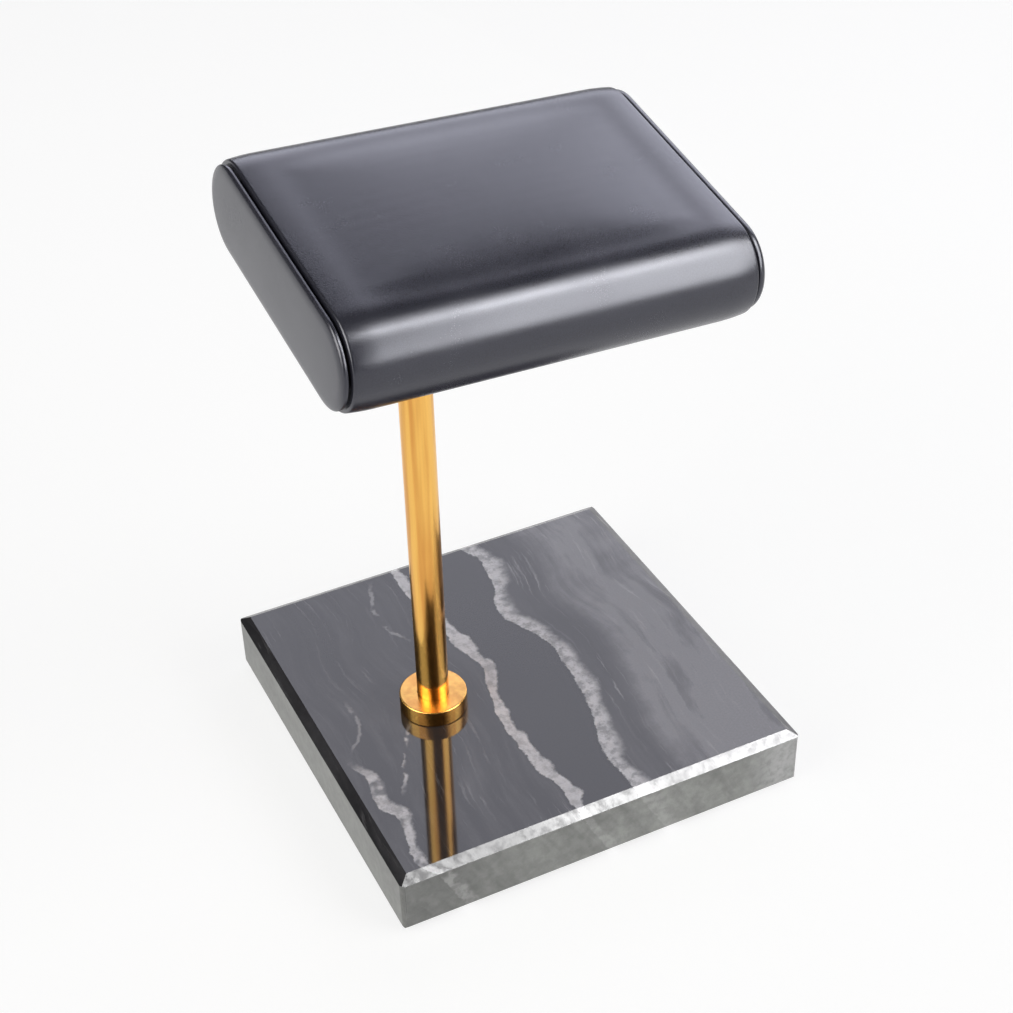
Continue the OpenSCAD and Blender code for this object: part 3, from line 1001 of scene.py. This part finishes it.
def swollen_skin():
    """How the leather's outer skin leaves its plain outline, ring by ring."""
    outline = sleeve_outline(SLEEVE_HALF, 0, LIP_ROUND)
    slack = [SLACK * min(1, max(0, (SLEEVE_HALF - abs(x)) / END_RUN)) for x, inset in outline]
    start = hull([(x, inset + loose) for (x, inset), loose in zip(outline, slack)])
    skin = start.reshape(-1, 3)
    held = np.clip((np.abs(skin[:, 0]) - SIDE_HALF) / HELD_REACH, 0, 1)
    moved = swell(skin, closed_faces(*start.shape[:2]), held, CROWN)
    plain = hull(outline)
    moves = (skin + moved).reshape(start.shape) - plain
    moves[..., 2] += fuller(plain)
    return np.array([x for x, inset in outline]), without_dents(moves, plain)


skin_places, skin_moves = swollen_skin()


def padded_hull(profile):
    """The rings of a layer that follows the swollen skin."""
    rings = hull(profile)
    for ring in rings:
        after = int(np.clip(np.searchsorted(skin_places, ring[0, 0]), 1, len(skin_places) - 1))
        before = after - 1
        share = (ring[0, 0] - skin_places[before]) / max(skin_places[after] - skin_places[before], 1e-6)
        share = min(max(share, 0), 1)
        ring += skin_moves[before] * (1 - share) + skin_moves[after] * share
    return rings


# Layers of the pillow


def add_layer(name, rings, material, lids=False):
    """A layer of the pillow: a closed loop of rings, or a solid with lids."""
    faces = closed_faces(*rings.shape[:2]) if lids else ring_faces(*rings.shape[:2], True)
    return add_piece(name, place_in_pillow(rings).tolist(), faces, material)


def drill_for_post(piece):
    """Cuts the post's hole through a layer's underside."""
    low, high = extent("pad_cover").low.z - DRILL_START, pillow_middle.z
    plug = [(ON_AXIS, low), (POST_HOLE, low), (POST_HOLE, high), (ON_AXIS, high)]
    cutter = lathe("plug", plug, post_axis, LEATHER)
    add_modifier(piece, "post_hole", "BOOLEAN", object=cutter, operation="DIFFERENCE", solver="EXACT")
    settle(piece)
    bpy.data.objects.remove(cutter)
    keep_sharp(piece, angle=45)


def make_sleeve():
    edge = SLEEVE_HALF - LEATHER_THICKNESS
    outer = sleeve_outline(SLEEVE_HALF, 0, LIP_ROUND)
    inner = sleeve_outline(edge, LEATHER_THICKNESS, INNER_LIP)
    hem = [
        (SLEEVE_HALF, HEM_OUTSIDE), (SLEEVE_HALF, HEM_INSET - 1), (SLEEVE_HALF, HEM_INSET - 0.25),
        (SLEEVE_HALF - CUT_ROUND, HEM_INSET), (edge + CUT_ROUND, HEM_INSET),
        (edge, HEM_INSET - 0.2), (edge, HEM_INSIDE),
    ]
    whole = np.concatenate([padded_hull(outer), hull(hem), padded_hull(inner)[::-1], hull(mirrored(hem))])
    sleeve = add_layer("pillow_sleeve", whole, LEATHER)
    add_modifier(sleeve, "smooth", "SUBSURF", levels=1, render_levels=1)
    drill_for_post(sleeve)
    finish_piece(sleeve, "leather", "pad_cover")
    return sleeve


def make_padding():
    """Foam between the leather and the core."""
    under = LEATHER_THICKNESS + LAYER_GAP
    end, inset = SLEEVE_HALF - under, under + FOAM_THICKNESS
    outer = sleeve_outline(end, under, INNER_LIP)
    drawn = quarter(end, inset, FOAM_FALL, END_RUN, steps=6)[1:-1] + [(end, inset + FOAM_FALL - 0.05)]
    inner = mirrored(drawn) + straight_side(inset) + drawn
    whole = np.concatenate([padded_hull(outer), hull(inner)[::-1]])
    padding = add_layer("pillow_padding", whole, PADDING)
    drill_for_post(padding)
    finish_piece(padding, "pillow_foam", "pad_foam")


def domed(end, start_inset):
    """The slightly domed end face of a cap, from its edge to near its middle."""
    run, shares = DOME_REACH - start_inset, (0.15, 0.3, 0.5, 0.75, 1.0)
    return [(end + CAP_DOME * (1 - (1 - t) ** 2), start_inset + t * run) for t in shares]


def make_cap(name, side, end, *replaced):
    """Leather of an end cap that ends at end, turned in behind; drawn for the right end."""
    t, edge, inner_start = LEATHER_THICKNESS, CAP_INSET, CAP_START + LEATHER_THICKNESS
    back = [
        (inner_start, HEM_INSET - CUT_ROUND), (inner_start - CUT_ROUND, HEM_INSET),
        (CAP_START + CUT_ROUND, HEM_INSET), (CAP_START, HEM_INSET - 0.2),
        (CAP_START, edge + 1.4), (CAP_START, edge + 0.3),
        (CAP_START + 0.1, edge + 0.08), (CAP_START + 0.3, edge),
    ]
    outer_run = CAP_RUN + end - CAP_END
    outside = back + quarter(end, edge, CAP_FALL, outer_run, steps=7) + domed(end, edge + CAP_FALL)
    inside = [(inner_start, edge + 1.9), (inner_start, edge + t + 0.1)]
    inside += quarter(CAP_END - t, edge + t, CAP_FALL - t, CAP_RUN - t, steps=5)[1:]
    inside += domed(CAP_END - t, edge + CAP_FALL)
    cap = add_layer(name, hull(inside[::-1] + outside) * (side, 1, 1), LEATHER, lids=True)
    add_modifier(cap, "smooth", "SUBSURF", levels=1, render_levels=1)
    finish_piece(cap, "leather", *replaced)


def make_cap_padding(name, side, *replaced):
    """Thin foam between an end cap's board and its leather."""
    t = LEATHER_THICKNESS + LAYER_GAP
    start, end = CAP_START + LEATHER_THICKNESS + BOARD_THICKNESS, CAP_END - t
    curve = quarter(end, CAP_INSET + t, CAP_FALL - t, CAP_RUN - t, steps=8)
    rim = [point for point in curve if point[0] > start + 0.01]
    first = rim[0][1] - 0.2
    profile = [(start, DOME_REACH), (start, 6.0), (start, first)] + rim + domed(end, CAP_INSET + CAP_FALL)
    padding = add_layer(name, hull(profile) * (side, 1, 1), PADDING, lids=True)
    finish_piece(padding, "pillow_foam", *replaced)


sleeve = make_sleeve()
make_padding()
make_cap("left_cap", -1, LEFT_CAP_END, "left_end_cover")
make_cap("right_cap", 1, RIGHT_CAP_END, "right_end_cover")
make_cap_padding("left_cap_padding", -1, "left_end_foam")
make_cap_padding("right_cap_padding", 1, "right_end_foam")

# Seam under the pillow: the sleeve's overlap, with one row of stitches

SEAM_PLACE = 14  # behind the pillow's middle line
SEAM_HALF = 41
SEAM_ROWS, STITCH_LINE_ROWS = 60, 40
FLAP_WIDTH, FLAP_THICKNESS = 9, 0.45
STITCH_LINE = 1.8  # from the flap's edge
STITCH_MARGIN = 1.5  # from the seam's ends
STITCH_LENGTH, STITCH_PITCH = 2.6, 3.4
STITCH_LIFT = 0.18
STITCH_TURNS = (0.04, 0.16)  # least and most, in radians
THREAD_RADIUS = 0.2


def surface_below(piece):
    """Gives a function for the pillow's underside, in its own axes, at a place (x, y)."""
    tree = BVHTree.FromObject(piece, bpy.context.evaluated_depsgraph_get())

    def under(x, y):
        start = pillow_turn @ Vector((x, y, -PILLOW_THICKNESS)) + pillow_middle
        hit = tree.ray_cast(start * MM, pillow_turn @ Vector((0, 0, 1)))[0]
        return (pillow_turn.transposed() @ (hit / MM - pillow_middle)).z

    return under


def make_flap(under):
    """Edge of the leather that laps over itself."""
    section = [
        (0, 0.1), (0, -0.25), (0.15, -0.4), (0.4, -FLAP_THICKNESS), (FLAP_WIDTH - 2, -FLAP_THICKNESS),
        (FLAP_WIDTH - 0.8, -0.2), (FLAP_WIDTH, 0.1),
    ]
    rows, count = spaced(SEAM_HALF, SEAM_ROWS), len(section)
    corners = [(x, SEAM_PLACE + y, under(x, SEAM_PLACE + y) + z) for x in rows for y, z in section]
    faces = ring_faces(len(rows), count, False)
    faces += [tuple(range(count)), tuple(range((len(rows) - 1) * count, len(rows) * count))]
    placed = [pillow_turn @ Vector(c) + pillow_middle for c in corners]
    flap = add_piece("seam_flap", placed, faces, LEATHER)
    keep_sharp(flap, angle=50)
    finish_piece(flap, "leather")


def add_stitch_line(under):
    """Line on the flap that the stitches follow."""
    y, rows = SEAM_PLACE + STITCH_LINE, spaced(SEAM_HALF - STITCH_MARGIN, STITCH_LINE_ROWS)
    corners = [Vector((x, y, under(x, y) - FLAP_THICKNESS)) * MM for x in rows]
    line = bpy.data.meshes.new("stitches")
    line.from_pydata(corners, [(k, k + 1) for k in range(STITCH_LINE_ROWS)], [])
    return add_object("seam_stitches", line)


def one_stitch(row):
    """A length of thread that bows away from the leather between its two ends."""
    given = row.inputs
    back, down = (row.calc("MULTIPLY", given[label], -1) for label in ("Half Stitch", "Lift"))
    reach = (back, given["Half Stitch"])
    ends = [row.vector(X=x, Z=given["Lift"]) for x in reach]
    bows = [row.vector(X=row.product(x, 0.6), Z=down) for x in reach]
    arc = row.output("GeometryNodeCurvePrimitiveBezierSegment", {
        "Resolution": 8, "Start": ends[0], "Start Handle": bows[0],
        "End Handle": bows[1], "End": ends[1]})
    section = row.output("GeometryNodeCurvePrimitiveCircle", {
        "Resolution": 8, "Radius": given["Thread Radius"]})
    return row.output("GeometryNodeCurveToMesh", {
        "Curve": arc, "Profile Curve": section, "Fill Caps": True})


def make_stitches(under):
    """A row of stitches along the flap, with a fixed seed for their small turns."""
    lengths = {
        "Pitch": STITCH_PITCH, "Thread Radius": THREAD_RADIUS,
        "Half Stitch": STITCH_LENGTH / 2, "Lift": STITCH_LIFT,
    }
    row = Recipe("seam_stitches", lengths, {"Seed": 7})
    given = row.inputs
    path = row.output("GeometryNodeMeshToCurve", {"Mesh": given["Geometry"]})
    inputs = {"Curve": path, "Length": given["Pitch"]}
    path = row.output("GeometryNodeResampleCurve", inputs, mode="LENGTH")
    askew = row.node("FunctionNodeRandomValue", data_type="FLOAT")
    row.feed_all((askew.inputs[2], askew.inputs[3], askew.inputs["Seed"]), (*STITCH_TURNS, given["Seed"]))
    turn = row.vector(Z=askew.outputs[1])
    stitches = row.on_points(path, one_stitch(row), Rotation=turn)
    piece = add_stitch_line(under)
    row.make(piece, stitches, THREAD)
    piece.data.transform(Matrix.Translation(pillow_middle * MM) @ pillow_turn.to_4x4())
    finish_piece(piece, "leather")


underside = surface_below(sleeve)
make_flap(underside)
make_stitches(underside)

# CAD nodes that keep their shape

NODE_FINISHES = {
    "base_screw": STEEL, "flat_washer": STEEL, "lock_washer": STEEL,
    "threaded_insert": BRASS, "pad_core": CORE_BOARD,
    "left_end_board": GREY_BOARD, "right_end_board": GREY_BOARD,
}

for node, material in NODE_FINISHES.items():
    for slot in nodes[node].material_slots:
        slot.material = material
